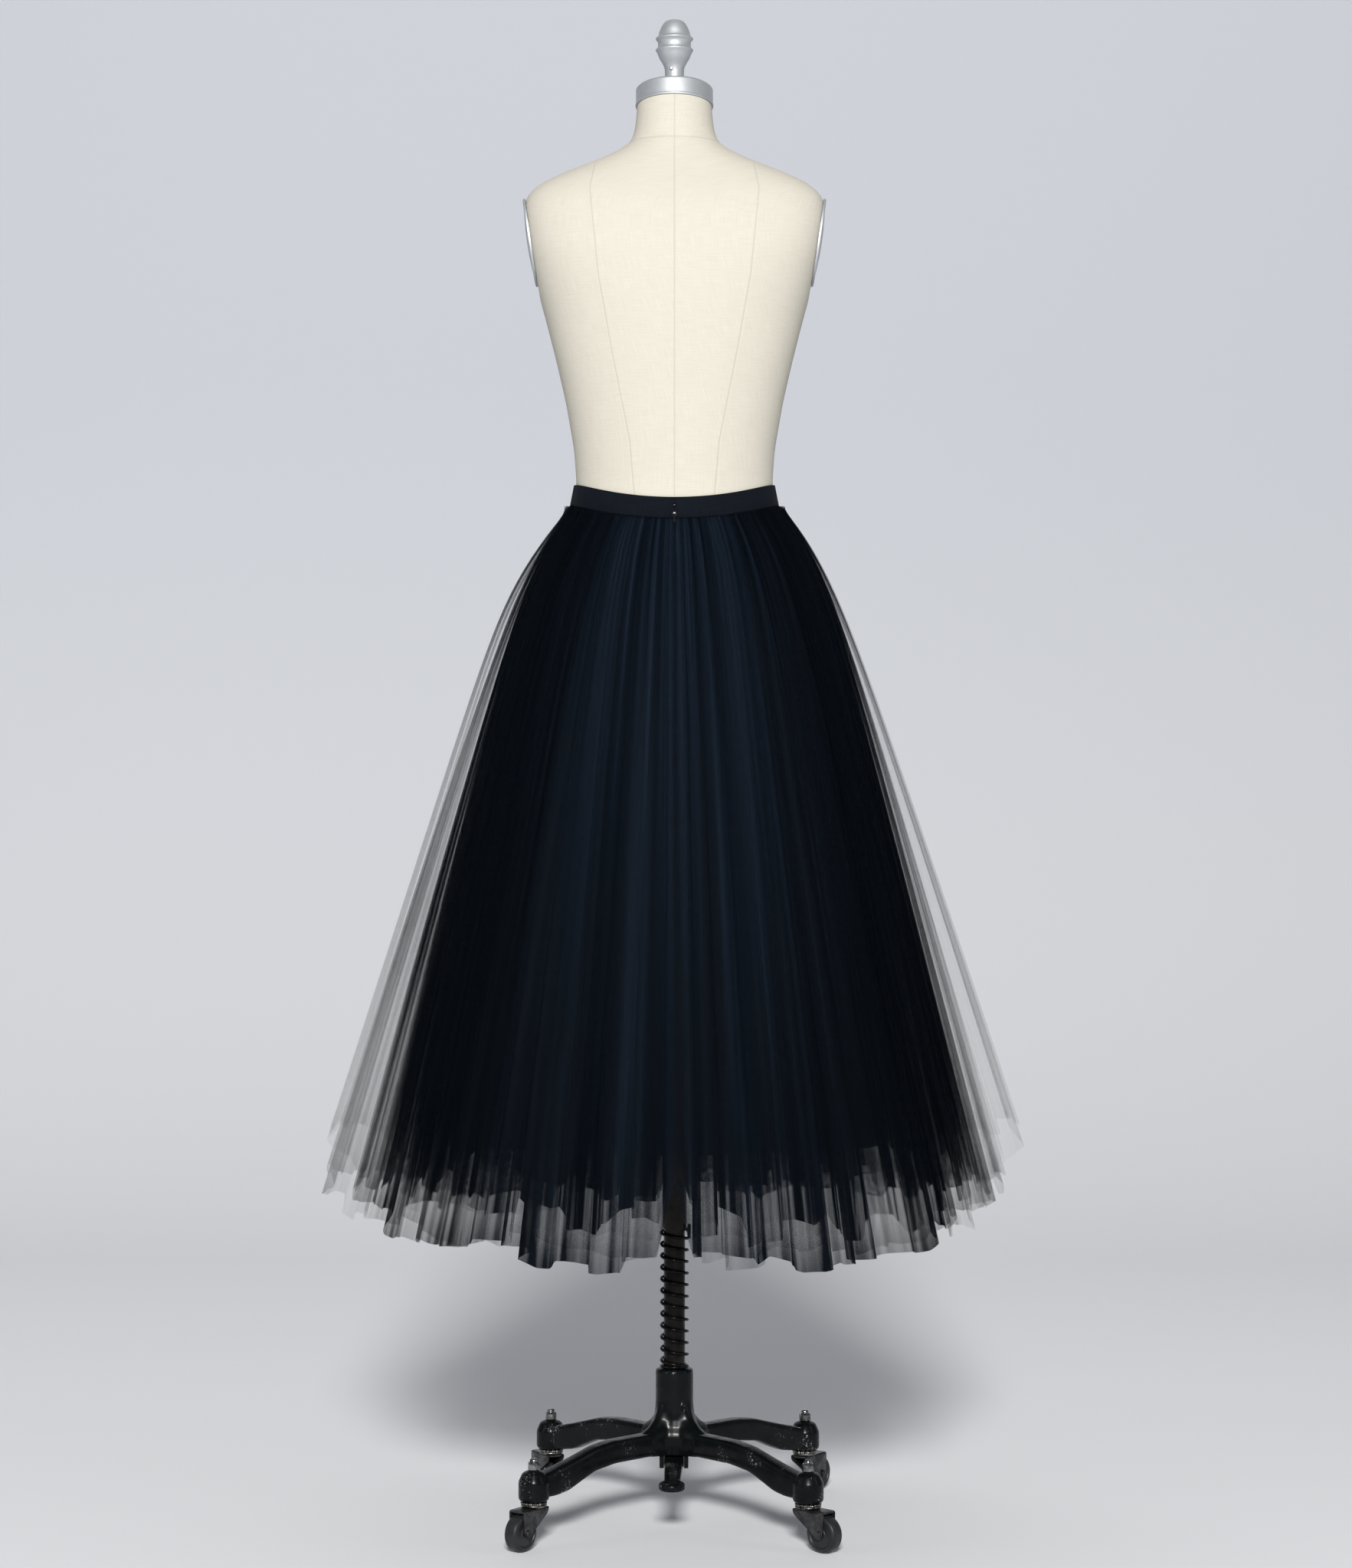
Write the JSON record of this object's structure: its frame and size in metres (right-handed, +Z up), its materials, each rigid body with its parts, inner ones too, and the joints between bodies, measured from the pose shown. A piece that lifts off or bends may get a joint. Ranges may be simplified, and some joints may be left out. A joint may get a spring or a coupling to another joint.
{
  "type": "layered tulle skirt on a dress form",
  "caption": "Tea-length layered tulle skirt with a crepe waistband and lining, worn by a limbless dress form on a cast-iron caster stand.",
  "frame": {"origin": "on the floor under the post, midway between the casters", "axes": "+Z up; the skirt's closure, its centre back, faces -Y; +X is the right of someone who faces the closure"},
  "size_m": [0.8138, 0.7364, 1.761],
  "materials": {
    "tulle": "matte",
    "crepe": "matte",
    "lining_cloth": "satin",
    "linen": "matte",
    "silver": "satin",
    "steel": "satin",
    "cast_iron_enamel": "gloss",
    "worn_paint": "satin",
    "black_metal": "satin",
    "wheel_rubber": "matte",
    "plywood": "matte"
  },
  "bodies": {
    "base": {"base_casting": "cast_iron_enamel", "stem_nut_back_left": "steel", "stem_nut_back_right": "steel", "stem_nut_front_right": "steel", "stem_nut_front_left": "steel", "caster_race_back_left": "steel", "caster_race_back_right": "steel", "caster_race_front_right": "steel", "caster_race_front_left": "steel", "post_rod": "worn_paint", "spring": "black_metal"},
    "sleeve": {"post_sleeve": "worn_paint"},
    "form": {"form_torso": "linen", "arm_plate_left": "silver", "arm_plate_right": "silver", "neck_cap": "silver", "finial": "silver", "finial_screw": "steel", "form_bottom_plate": "plywood", "form_flange": "cast_iron_enamel", "waistband": "crepe", "lining": "lining_cloth", "tulle_layer_1": "tulle", "tulle_layer_2": "tulle", "tulle_layer_3": "tulle", "tulle_layer_4": "tulle", "tulle_layer_5": "tulle", "zip_top": "crepe", "zip_slider": "black_metal", "band_hook": "steel"},
    "zip_tab": {"zip_pull_tab": "black_metal"},
    "pedal": {"height_pedal": "cast_iron_enamel"},
    "swivel_back_left": {"caster_fork_back_left": "black_metal"},
    "wheel_back_left": {"caster_wheel_back_left": "wheel_rubber"},
    "swivel_back_right": {"caster_fork_back_right": "black_metal"},
    "wheel_back_right": {"caster_wheel_back_right": "wheel_rubber"},
    "swivel_front_right": {"caster_fork_front_right": "black_metal"},
    "wheel_front_right": {"caster_wheel_front_right": "wheel_rubber"},
    "swivel_front_left": {"caster_fork_front_left": "black_metal"},
    "wheel_front_left": {"caster_wheel_front_left": "wheel_rubber"}
  },
  "joints": [
    {"name": "height_slide", "type": "slide", "parent": "base", "child": "sleeve", "axis": [0, 0, 1], "range_m": [-0.1, 0], "deforming": ["spring"]},
    {"name": "form_turn", "type": "hinge", "parent": "sleeve", "child": "form", "pos_m": [0, 0, 0.9], "axis": [0, 0, 1], "continuous": true},
    {"name": "zip_tab_swing", "type": "hinge", "parent": "form", "child": "zip_tab", "pos_m": [0, -0.10105, 1.174], "axis": [-1, 0, 0], "range_deg": [0, 110]},
    {"name": "pedal_press", "type": "hinge", "parent": "base", "child": "pedal", "pos_m": [-0.00047, -0.01799, 0.072], "axis": [0.9997, -0.0262, 0], "range_deg": [0, 12], "stiffness_Nm_per_rad": 1.5, "springref_deg": -11.46},
    {"name": "caster_swivel_back_left", "type": "hinge", "parent": "base", "child": "swivel_back_left", "pos_m": [-0.159, -0.15089, 0.05], "axis": [0, 0, 1], "continuous": true},
    {"name": "wheel_spin_back_left", "type": "hinge", "parent": "swivel_back_left", "child": "wheel_back_left", "pos_m": [-0.17304, -0.17035, 0.021], "axis": [0.8111, -0.585, 0], "continuous": true},
    {"name": "caster_swivel_back_right", "type": "hinge", "parent": "base", "child": "swivel_back_right", "pos_m": [0.15089, -0.159, 0.05], "axis": [0, 0, 1], "continuous": true},
    {"name": "wheel_spin_back_right", "type": "hinge", "parent": "swivel_back_right", "child": "wheel_back_right", "pos_m": [0.16844, -0.17537, 0.021], "axis": [0.682, 0.7314, 0], "continuous": true},
    {"name": "caster_swivel_front_right", "type": "hinge", "parent": "base", "child": "swivel_front_right", "pos_m": [0.159, 0.15089, 0.05], "axis": [0, 0, 1], "continuous": true},
    {"name": "wheel_spin_front_right", "type": "hinge", "parent": "swivel_front_right", "child": "wheel_front_right", "pos_m": [0.17345, 0.17006, 0.021], "axis": [-0.7986, 0.6018, 0], "continuous": true},
    {"name": "caster_swivel_front_left", "type": "hinge", "parent": "base", "child": "swivel_front_left", "pos_m": [-0.15089, 0.159, 0.05], "axis": [0, 0, 1], "continuous": true},
    {"name": "wheel_spin_front_left", "type": "hinge", "parent": "swivel_front_left", "child": "wheel_front_left", "pos_m": [-0.16289, 0.17979, 0.021], "axis": [-0.866, -0.5, 0], "continuous": true}
  ]
}
